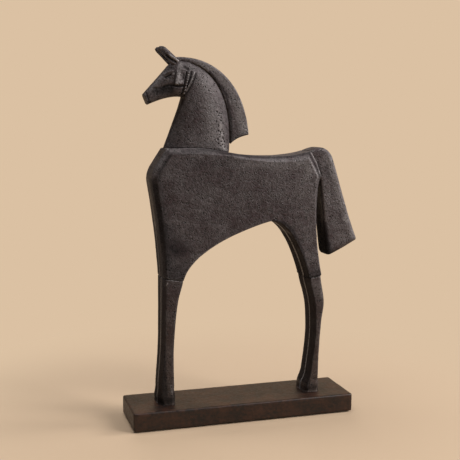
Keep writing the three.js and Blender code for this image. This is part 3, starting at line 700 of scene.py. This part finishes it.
def shin(name, leg, sign, knee, wear):
    plan = shinPlan
    low, high = plan["low"], knee[1] - plan["seatGap"]
    lipShare = plan["lipHeight"] / (high - low)
    shares = [0, lipShare * plan["lipMiddle"], lipShare]
    shares += [i / plan["rings"] for i in range(1, plan["rings"] + 1)]
    rings, foreLine, aftLine = [], [], []
    for share in shares:
        fromCoronet = abs(share - plan["coronetShare"]) / plan["coronetReach"]
        fromBulge = abs(share / plan["bulgeShare"] - 1)
        swell = plan["lip"] * max(0, 1 - share / lipShare) ** 2
        swell -= plan["coronet"] * max(0, 1 - fromCoronet)
        swell += plan["bulge"] * max(0, 1 - fromBulge) ** plan["bulgeCurve"]
        fore = leg["x"] + smoothAt(leg["shares"], leg["fore"], share) - swell
        aft = leg["x"] + smoothAt(leg["shares"], leg["aft"], share) + swell
        outer = smoothAt(plan["across"], plan["outer"], share) + swell
        extra = plan["hoofRound"] * max(0, 1 - share / plan["hoofShare"])
        tilt = knee[2] * share ** plan["tiltCurve"]
        rise = low + (high - low) * share
        rings.append([Vector((x, sign * y, rise + tilt * (x - (fore + aft) / 2))) * mm
                      for x, y in legSection(fore, aft, outer, leg, extra)])
        foreLine.append((fore, rise))
        aftLine.append((aft, rise))
    obj = growRings(name, rings)
    aboveFoot = [spot for spot in foreLine if spot[1] > low + plan["unshadedFoot"]]
    fillerLine = [(leg["x"] - plan["fillerHalf"], low), (leg["x"] + plan["fillerHalf"], low)]
    castFinish(obj, plan, [
        # a bright line down the fore face (abraded metal and a painted highlight), painted shade on
        # the fore face above the foot and on the aft edge, and a painted highlight on the filler
        # lip
        seam(foreLine, plan["bareAndLitLineReach"], leg["bareAndLitLineWidth"], leg["rub"], middle=leg["bareAndLitLineMiddle"]),
        seam(aboveFoot, leg["paintedForeShadeReach"], wholeWidth, leg["stain"]),
        seam(aftLine, plan["aftReach"], wholeWidth, plan["paintedAftShade"]),
        seam(fillerLine, plan["fillerReach"], wholeWidth, plan["fillerHighlight"]),
    ] + wear)
    return obj


for end in ("front", "rear"):
    for side, sign in (("left", -1), ("right", 1)):
        piece = shin("shin" + end.title() + side.title(), shinPlan[end], sign,
                     bodyPlan[end + "Knee"], shinPlan[end + "Wear"])
        handOver(piece, "cast_metal", castMetal, "shin_" + end + "_" + side)

# Neck: rounded sections between the throat line and the crest, trimmed to the seat
neckPlan = {
    "throatLine": [(-86.9, 292.7), (-62.8, 354.5)],
    "crest": [(-11.3, 290.7), (-7.1, 328.7), (-13.3, 379.2), (-54.3, 391.0)],
    "thickness": [28.5, 26, 22.5], "squareness": 2.4, "points": 40, "rings": 30,
    "flare": 2.2, "flareShare": 0.14,
    "voxel": 0.8, "softening": 3, "unevenness": 1,
    "strokes": [
        score([(-52, 380.5), (-53.9, 374.3), (-56.9, 368), (-59.4, 363.8), (-60.6, 360.9)], 1.05,
              0.75, lift=0.9),  # thin strap behind the jaw
        score([(-54.8, 381), (-56.4, 374.3), (-58.5, 368.5), (-60.2, 364)], 1.3, -0.7, lift=-0.9),
        score([(-49.6, 379.5), (-51.6, 373.5), (-54.6, 367), (-57.6, 362.2), (-60, 358)], 1.3,
              -0.45, lift=-0.5),
        # lighter on the rear of the neck and a little on the throat: abraded patina and painted
        # highlights
        score([(-27.2, 340.9), (-22, 330.3), (-22.5, 314.3), (-19, 302.5)], 7, 0.35),
        score([(-22.8, 324), (-21.2, 303)], 5.5, 0.7),
        score([(-21.7, 309), (-19.4, 302.6), (-17.2, 298.6)], 4.5, 0.95),
        score([(-84, 297), (-74, 322), (-66, 346)], 8, 0.1),
        score([(-30, 316), (-34, 334), (-34, 352), (-40, 368)], 16, 0.28),
    ],
    "pit": {"rub": -1.2, "lift": -0.7},
    "pits": [  # x, z, run, drop and width of each open casting pit
        (-27.2, 339.6, 0.8, 1.1, 0.9), (-24.5, 338.0, 0.2, 0.8, 0.8), (-25.2, 335.4, 0.7, 0.4, 0.9),
        (-22.4, 333.0, 0.3, 0.9, 0.8), (-28.2, 329.2, 0.4, 0.4, 0.9), (-22.6, 330.0, 0.3, 1.0, 0.9),
        (-20.2, 327.3, 0.4, 0.5, 0.8), (-25.8, 324.0, 0.3, 0.4, 0.8), (-25.8, 319.1, 0.9, 0.6, 1.2),
        (-23.2, 317.9, 0.5, 1.3, 1.2), (-21.4, 320.3, 0.3, 0.6, 1.0), (-19.4, 315.8, 0.5, 0.4, 0.9),
        (-26.3, 310.2, 0.3, 0.9, 1.1), (-24.2, 312.6, 0.6, 0.3, 1.0), (-22.7, 307.8, 0.9, 0.5, 1.3),
        (-20.4, 311.4, 0.4, 1.1, 1.1), (-23.2, 302.9, 0.8, 0.3, 1.2), (-20.8, 304.6, 0.3, 0.9, 1.1),
        (-18.3, 301.6, 0.5, 0.5, 1.2), (-25.8, 305.4, 0.7, 0.4, 1.0), (-18.6, 307.8, 0.3, 0.9, 1.0),
    ],
}


def bezierAt(handles, t):
    spots = [Vector(h) for h in handles]
    while len(spots) > 1:
        spots = [a.lerp(b, t) for a, b in zip(spots, spots[1:])]
    return spots[0]


def sectionBetween(a, b, thickness, squareness, points):
    middle = Vector(((a.x + b.x) / 2, 0, (a.y + b.y) / 2))
    along = Vector((b.x - a.x, 0, b.y - a.y))
    return roundSection(middle, along.normalized(), along.length, thickness, squareness, points)


def neckRings(grow=0):
    rings = []
    for i in range(neckPlan["rings"] + 1):
        share = i / neckPlan["rings"]
        girth = bezierAt([(g, 0) for g in neckPlan["thickness"]], share).x
        a, b = bezierAt(neckPlan["throatLine"], share), bezierAt(neckPlan["crest"], share)
        reach = (b - a).normalized() * grow
        spread = neckPlan["flare"] * max(0, 1 - share / neckPlan["flareShare"]) ** 2
        flare = (b - a).normalized() * spread
        rings.append(sectionBetween(a - reach - flare, b + reach, girth + 2 * grow,
                                    neckPlan["squareness"], neckPlan["points"]))
    return rings


neck = growRings("horseNeck", neckRings())
cutWith(neck, bodyTool, keepTool=True)
pitStrokes = [score([(x, z), (x + run, z - drop)], width, **neckPlan["pit"])
              for x, z, run, drop, width in neckPlan["pits"]]
castFinish(neck, neckPlan, neckPlan["strokes"] + pitStrokes)
handOver(neck, "cast_metal", castMetal, "neck")

# Head: sections from the jaw line to the muzzle, with a stepped cheek, an eye and a ridged jaw edge
ropeLine = [(-57.6, 381.0), (-58.7, 376.3), (-60.4, 369.0), (-61.9, 362.7), (-63.2, 357.0)]
headPlan = {
    "jaw": [(-62.8, 354.5), (-77.8, 356.7), (-100.8, 346.2)],
    "crown": [(-54.3, 391.0), (-73.0, 395.8), (-80.6, 384.3)], "nose": (-105.3, 357.2),
    "thickness": [25, 25.4, 21, 17.4, 15, 13.2], "squareness": 3.2, "points": 40, "rings": 20,
    "lineSteps": 40, "voxel": 0.55, "softening": 3, "unevenness": 0.5,
    "strokes": [
        {"plate": [(-70.2, 389.5), (-58.5, 388), (-58.5, 367.6), (-73.2, 366.8)], "lift": 2.4,
         "edge": 1.7, "corner": (-73.2, 366.8), "slope": (-0.19, -0.1)},  # cheekbone
        # painted highlight along the front and lower edges of the cheekbone
        score([(-66.6, 389.6), (-67.8, 383.3), (-68.6, 378)], 3.8, 0.48),
        score([(-68.4, 378), (-69.2, 374), (-70.4, 369.8)], 4.2, 0.74),
        score([(-69.5, 370), (-66, 370.4)], 2.8, 0.65),
        score([(-62.4, 385.6), (-58.6, 383.2)], 2.6, -0.6, lift=-0.6),  # hollow above the strap
        score([(-64, 379), (-63.4, 373)], 2, -0.35, lift=-0.3),
        score([(-94.5, 363.5), (-89.2, 363.2), (-84, 364.6)], 2, -0.4, lift=-0.5),  # mouth
        score([(-84.5, 364.8), (-79.6, 366.4), (-75, 366.4)], 2.5, -0.7, lift=-0.8),
        score([(-73, 366), (-68.5, 365.2), (-64.5, 366)], 1.9, -0.65, lift=-0.9),  # painted shadow under the cheek
        score([(-91.1, 360), (-92, 357)], 1.6, -0.6, lift=-0.5),  # corner of the mouth
        score([(-102.6, 359), (-99.4, 348.5)], 1.3, -0.6, lift=-0.5),  # behind the nose
        score([(-60.4, 380), (-61.4, 375), (-62.8, 368), (-64.4, 361), (-65.2, 357.5)], 1.5, -0.6,
              lift=-0.9),
        score(ropeLine, 1.3, -0.5),
        score([(-82.4, 374.8), (-80, 376), (-77.6, 377.2)], 1.9, -0.75, lift=-1),  # eye
        # painted highlight on the lid beside the eye
        score([(-74.8, 378), (-73.8, 378.8)], 1.3, 0.75, lift=0.3),
        score([(-84, 377.6), (-79.5, 380), (-75.5, 381.4)], 1.7, lift=0.5),  # brow
        score([(-78.6, 385.4), (-76.4, 384.6)], 2.2, -0.6, lift=-0.4),
        score([(-99, 361), (-91, 369), (-85, 378)], 6, 0.24),  # painted highlight along the bridge of the nose
        score([(-80, 371.6), (-75, 371.8)], 3.4, 0.14),
        score([(-93, 360.6), (-84, 360.2), (-76, 360.6)], 5.5, -0.56),  # shaded jaw
        # painted shade under the mouth line
        score([(-87, 362.8), (-81, 363.6), (-75.5, 363.6)], 3.4, -0.9),
    # raised rope ridges behind the jaw, painted lighter: abraded metal and painted highlights
    ] + beads(ropeLine, 2.6, width=1.15, rub=0.9, lift=1.1),
}


def headSpot(handles, share):  # even steps along a drawn line
    spots, steps = [], headPlan["lineSteps"]
    for part in handles:
        spots += [bezierAt(part, i / steps) for i in range(steps + 1)]
    lengths = [0]
    for a, b in zip(spots, spots[1:]):
        lengths.append(lengths[-1] + (b - a).length)
    target = share * lengths[-1]
    for i in range(len(spots) - 1):
        before, after = lengths[i], lengths[i + 1]
        if after >= target - 1e-9 and after > before:
            return spots[i].lerp(spots[i + 1], (target - before) / (after - before))
    return spots[-1]


headRings = []
girths = headPlan["thickness"]
girthPlaces = [k / (len(girths) - 1) for k in range(len(girths))]
for i in range(headPlan["rings"] + 1):
    share = i / headPlan["rings"]
    low = headSpot([headPlan["jaw"]], share)
    high = headSpot([headPlan["crown"], [headPlan["crown"][-1], headPlan["nose"]]], share)
    headRings.append(sectionBetween(low, high, smoothAt(girthPlaces, girths, share),
                                    headPlan["squareness"], headPlan["points"]))
head = growRings("horseHead", headRings)
castFinish(head, headPlan, headPlan["strokes"])
handOver(head, "cast_metal", castMetal, "head")

# Ears: leaf blades that lean forward, hollowed along the outer face
earPlan = {
    "root": (-71.7, 390.4), "lean": 45, "length": 22, "spread": 7.5,
    "squareness": 2.6, "points": 20,
    # share of the length, width, thickness, shift
    "taper": [(-0.25, 8.7, 5.2, 0.35), (0.1, 8.7, 5.2, 0.35), (0.55, 8.2, 4.8, 0.3),
              (0.82, 7.7, 4.2, 0.0), (0.93, 6.8, 3.5, -0.4), (1.0, 5.1, 2.6, -0.8),
              (1.06, 3.2, 1.6, -1.3)],
    "voxel": 0.45, "softening": 3, "unevenness": 0.4,
    "strokes": [
        # painted shade in the hollow, towards the tip
        score([(-85.6, 401.6), (-81, 396.8)], 2.4, -0.35, lift=-0.7),
        score([(-81.4, 397), (-76.6, 393.6), (-71.7, 391.3)], 2.5, -0.75, lift=-1.4),  # hollow, darkened with painted shade
        score([(-77.6, 397.2), (-74, 394.8), (-69, 391.6)], 2.1, 1, lift=0.6),  # raised rear rim with a painted highlight
        # painted highlight along the front edge
        score([(-91, 402.6), (-84.6, 395.6), (-79.8, 390.4)], 2.6, 0.25, lift=0.3),
    ],
}
lean = math.radians(earPlan["lean"])
earAlong = Vector((-math.sin(lean), 0, math.cos(lean)))
earFlat = Vector((earAlong.z, 0, -earAlong.x))
for side, sign in (("left", -1), ("right", 1)):
    foot = Vector((earPlan["root"][0], sign * earPlan["spread"], earPlan["root"][1]))
    rings = []
    for share, wide, thick, shift in earPlan["taper"]:
        middle = foot + earAlong * share * earPlan["length"] + earFlat * shift
        rings.append(roundSection(middle, earFlat, wide, thick, earPlan["squareness"],
                                  earPlan["points"]))
    ear = growRings("ear" + side.title(), rings)
    castFinish(ear, earPlan, earPlan["strokes"])
    handOver(ear, "cast_metal", castMetal, "ear_" + side)

# Mane: a crest that stands on the neck from the poll to the withers
manePlan = {
    "thickness": 10, "bevelDepth": 1.8, "bevelTurns": 3, "step": 3,
    "outline": [
        (11.2, 314.3, 1.8, (8.6, 351.7), (-12.2, 398.4)),  # tip and outer curve
        (-69.1, 396.6, 1.8),
        (-69.1, 386.5, 0),
        (-54.5, 386.5, 0, (-17.0, 374.0), (-12.3, 328.5)),  # sunk into the neck
        (-14.6, 303.0, 0),
        (-10.6, 302.6, 1.2, (-6.0, 311.0)),  # underside
    ],
    "neckRoom": 0.9, "voxel": 0.75, "softening": 3, "unevenness": 0.8,
    "strokes": [
        # lighter lower part and outer curve: paler patina and a painted highlight
        score([(0.5, 347), (1.4, 332), (5.6, 320.5)], 9, 0.55),
        score([(-44, 391.5), (-24, 382), (-7, 360), (0, 340)], 9, 0.36),
        score([(-33, 381), (-15, 358), (-9.5, 330), (-9, 306)], 2.5, -0.6),  # painted shade by the neck
        score([(4.5, 326), (8.5, 318)], 4.5, 0.8),  # tip, lighter: abraded metal and a painted highlight
        # painted shadow on the underside
        score([(-9, 306), (-3, 310.2), (4, 312.8), (10.8, 314.5)], 1.6, -0.9, allRound=True),
    ],
}
mane = slab("horseMane", manePlan)
for name, rings in (("neckRoom", neckRings(manePlan["neckRoom"])), ("headRoom", headRings)):
    cutWith(mane, growRings(name, rings))
castFinish(mane, manePlan, manePlan["strokes"])
handOver(mane, "cast_metal", castMetal, "mane")

# Tail: a slab on the rump, rounded most at its foot
tailPlan = {
    "thickness": 28, "depthShare": 0.85, "bevelTurns": 4, "step": 3.5,
    "outline": [
        (76.0, 294.8, 0),
        (79.6, 296.4, 0),
        (85.6, 299.0, 4.5, (99.6, 303.6)),  # crown
        (107.2, 289.6, 4.5, (114.8, 267.0), (123.4, 232.8)),  # outer edge
        (137.8, 196.8, 4.5, (138.7, 194.8)),  # tip
        (136.3, 194.0, 4.5, (121.0, 185.2)),
        (106.0, 178.2, 7, (100.5, 176.7)),  # foot
        (100.4, 186.4, 4.6),
        (92.4, 266.0, 2),
        (90.0, 263.6, 0),
    ],
    "voxel": 0.85, "softening": 3, "unevenness": 1,
    "strokes": [
        # painted highlight along the outer edge
        score([(104, 288), (110.5, 264), (119.5, 236), (133, 199)], 8.5, 0.42),
        score([(110, 250), (114, 236)], 9, 0.1),
        score([(112, 212), (120, 196)], 13, 0.2),
        score([(101, 262), (103, 238)], 7, 0.2),
        score([(122.4, 219.5), (125.5, 217)], 5, 0.85),  # bare spots near the rim
        score([(129.5, 203.5), (132, 198.5)], 3.2, 0.7),
        score([(116.5, 238), (118.5, 233)], 3.5, 0.6),
        score([(109.5, 256), (111.5, 250)], 3.2, 0.6),
        score([(102.5, 289), (105, 283)], 3.2, 0.6),
        score([(99, 278), (101, 268)], 6, -0.15),
        score([(102.5, 192), (104, 186), (107.5, 181.5)], 6, -0.6, allRound=True),  # foot
        score([(106.5, 180.5), (116, 184.5)], 3.4, -0.45, allRound=True),
        # shaded front
        seam([(92.4, 266), (100.4, 186.4), (105, 178.6)], 4.4, 200, -0.9, fade=(194, 226)),
        seam([(92.4, 266), (100.4, 186.4)], 4.4, 15, -0.85, middle=3, fade=(208, 250)),
        # painted light on the near half of the front
        seam([(93.2, 258), (95.4, 236), (97.4, 216)], 5, 7, 0.26, middle=-13),
        # painted shadow just behind the rump bevel
        score([(88.6, 284.4), (93.2, 270)], 1.9, -0.5),
        # painted highlight along the outer edge
        score([(109.5, 285), (115.5, 265), (124.5, 236), (137, 199)], 3, 0.6),
    ],
}
tail = slab("horseTail", tailPlan)
cutWith(tail, bodyTool)
castFinish(tail, tailPlan, tailPlan["strokes"])
handOver(tail, "cast_metal", castMetal, "tail")

# Plinth: a sawn block with eased corners and edges
plinthPlan = {
    "low": (-125.8, -34.8, 1), "high": (125.8, 34.8, 21.4),
    "corner": 2, "cornerTurns": 6, "ease": 1.5, "easeTurns": 4,
    "upright": 5, "level": 0.9,  # least rise of a corner edge, least upward normal of a level face
    "voxel": 1.1, "softening": 4, "unevenness": 0.9,
}


def isUpright(edge):
    return abs(edge.verts[0].co.z - edge.verts[1].co.z) > plinthPlan["upright"] * mm


def isRim(edge):  # between a level face and a side
    return len({abs(face.normal.z) > plinthPlan["level"] for face in edge.link_faces}) == 2


plinth = block("woodPlinth", plinthPlan["low"], plinthPlan["high"])
pick(plinth, "EDGE", isUpright)
bpy.ops.mesh.bevel(offset=plinthPlan["corner"] * mm, segments=plinthPlan["cornerTurns"],
                   affect="EDGES")
pick(plinth, "EDGE", isRim)
bpy.ops.mesh.bevel(offset=plinthPlan["ease"] * mm, segments=plinthPlan["easeTurns"], affect="EDGES")
castFinish(plinth, plinthPlan)
handOver(plinth, "stained_wood", plinthWood, "plinth")

# CAD nodes that stay as they are
for name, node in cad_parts.items():
    if node.get("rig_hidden") or node.hide_render:
        continue
    node.data.materials.clear()
    node.data.materials.append(rubber if name == "base_liner" else steel)
print("kept nodes dressed")

# Stage: a pale floor that runs out into a plain backdrop
stagePlan = {
    "floor": "#bea88f", "size": 6, "cuts": 8, "roughness": 0.8, "specular": 0.2,
    "bounce": 0.4,  # the floor throws back less light than it shows
    "blend": (0.15, 0.45),  # distances over which it turns into the backdrop
    "backdrop": "#dbc1a3", "dim": "#241f1c",
    "backdropAim": (0.5, 0.866, 0), "aimShare": (0.55, 0.95),  # which way reflections see it
    "ambient": 0.06, "tint": "#fffaf6",
}


def backdropRay(tree, path):  # 1 for what the camera, a reflection or glass sees directly
    both = addNode(tree, "Math", {"operation": "MAXIMUM"},
                   {0: (path, "Is Camera Ray"), 1: (path, "Is Glossy Ray")})
    return addNode(tree, "Math", {"operation": "MAXIMUM"},
                   {0: (both, 0), 1: (path, "Is Transmission Ray")}), 0


bare()
bpy.ops.mesh.primitive_plane_add(size=stagePlan["size"], location=(0, 0, 0))
floor = bpy.context.object
floor.name = "studioFloor"
pick(floor, "FACE", lambda face: True)
bpy.ops.mesh.subdivide(number_cuts=stagePlan["cuts"])
bare()
floorMaterial, tree, where = newMaterial("paleFloor")
path = addNode(tree, "LightPath")
dull = addNode(tree, "MapRange", {"To Min": 1, "To Max": stagePlan["bounce"]},
               {"Value": (path, "Is Diffuse Ray")})
shown = addNode(tree, "Mix", {**shading, 6: toLinear(stagePlan["floor"])}, {7: (dull, 0)})
shader = addNode(tree, "BsdfPrincipled", {"Roughness": stagePlan["roughness"],
                                          "Specular IOR Level": stagePlan["specular"]},
                 {"Base Color": (shown, 2)})
away = addNode(tree, "VectorMath", {"operation": "LENGTH"}, {0: where["Vector"]})
fade = addNode(tree, "MapRange", {"interpolation_type": "SMOOTHSTEP", "span": stagePlan["blend"]},
               {"Value": (away, "Value")})
seen = addNode(tree, "Math", {"operation": "MULTIPLY"}, {0: (fade, 0), 1: backdropRay(tree, path)})
glow = addNode(tree, "Emission", {"Color": toLinear(stagePlan["backdrop"]), "Strength": 1})
blend = addNode(tree, "MixShader", {}, {0: (seen, 0), 1: (shader, 0), 2: (glow, 0)})
addNode(tree, "OutputMaterial", {}, {0: (blend, 0)})
floor.data.materials.append(floorMaterial)

world = bpy.data.worlds.new("studio")
scene.world = world
world.use_nodes = True
tree = world.node_tree
tree.nodes.clear()
ambient = addNode(tree, "Background", {"Color": toLinear(stagePlan["tint"]),
                                       "Strength": stagePlan["ambient"]})
look = addNode(tree, "TexCoord")
facing = addNode(tree, "VectorMath", {"operation": "DOT_PRODUCT", 1: stagePlan["backdropAim"]},
                 {0: (look, "Generated")})
behind = addNode(tree, "MapRange", {"span": stagePlan["aimShare"]}, {"Value": (facing, "Value")})
path = addNode(tree, "LightPath")
direct = addNode(tree, "Math", {"operation": "MAXIMUM"},
                 {0: (behind, 0), 1: (path, "Is Camera Ray")})
hue = addNode(tree, "Mix", {"data_type": "RGBA", 6: toLinear(stagePlan["dim"]),
                            7: toLinear(stagePlan["backdrop"])}, {0: (direct, 0)})
backdrop = addNode(tree, "Background", {"Strength": 1}, {"Color": (hue, 2)})
mixed = addNode(tree, "MixShader", {},
                {0: backdropRay(tree, path), 1: (ambient, 0), 2: (backdrop, 0)})
addNode(tree, "OutputWorld", {}, {0: (mixed, 0)})

lampPlan = [  # name, place, aim, size, watts
    ("keyPanel", (2.5, -2.15, 2.3), (0, 0, 0.2), 1.6, 112),
    ("sidePanel", (2.6, -0.3, 1.6), (0, 0, 0.25), 0.9, 50),
    ("topPanel", (-0.8, 0.1, 2.9), (0, 0, 0.2), 2.4, 52),
    ("backPanel", (0.2, 3.0, 1.3), (0, 0, 0.2), 2.0, 38),
]
for name, spot, aim, size, watts in lampPlan:
    bare()
    bpy.ops.object.light_add(type="AREA", location=spot)
    lamp = bpy.context.object
    lamp.name = name
    lamp.data.size = size
    lamp.data.energy = watts
    lamp.data.color = toLinear(stagePlan["tint"])[:3]
    lamp.visible_glossy = name != "backPanel"  # fills the far side without a shine on the plinth
    lamp.rotation_euler = (Vector(aim) - Vector(spot)).to_track_quat("-Z", "Y").to_euler()

cameraPlan = {"place": (-0.284, -0.925, 0.3324), "turn": (82.75, 0, -16.55), "lens": 68.87,
              "sensor": 36, "nearest": 0.01}
bare()
bpy.ops.object.camera_add(location=cameraPlan["place"],
                          rotation=[math.radians(angle) for angle in cameraPlan["turn"]])
camera = bpy.context.object
camera.data.lens = cameraPlan["lens"]
camera.data.sensor_width = cameraPlan["sensor"]
camera.data.clip_start = cameraPlan["nearest"]
scene.camera = camera
scene.view_settings.view_transform = "Standard"
print("stage, lamps and camera set")
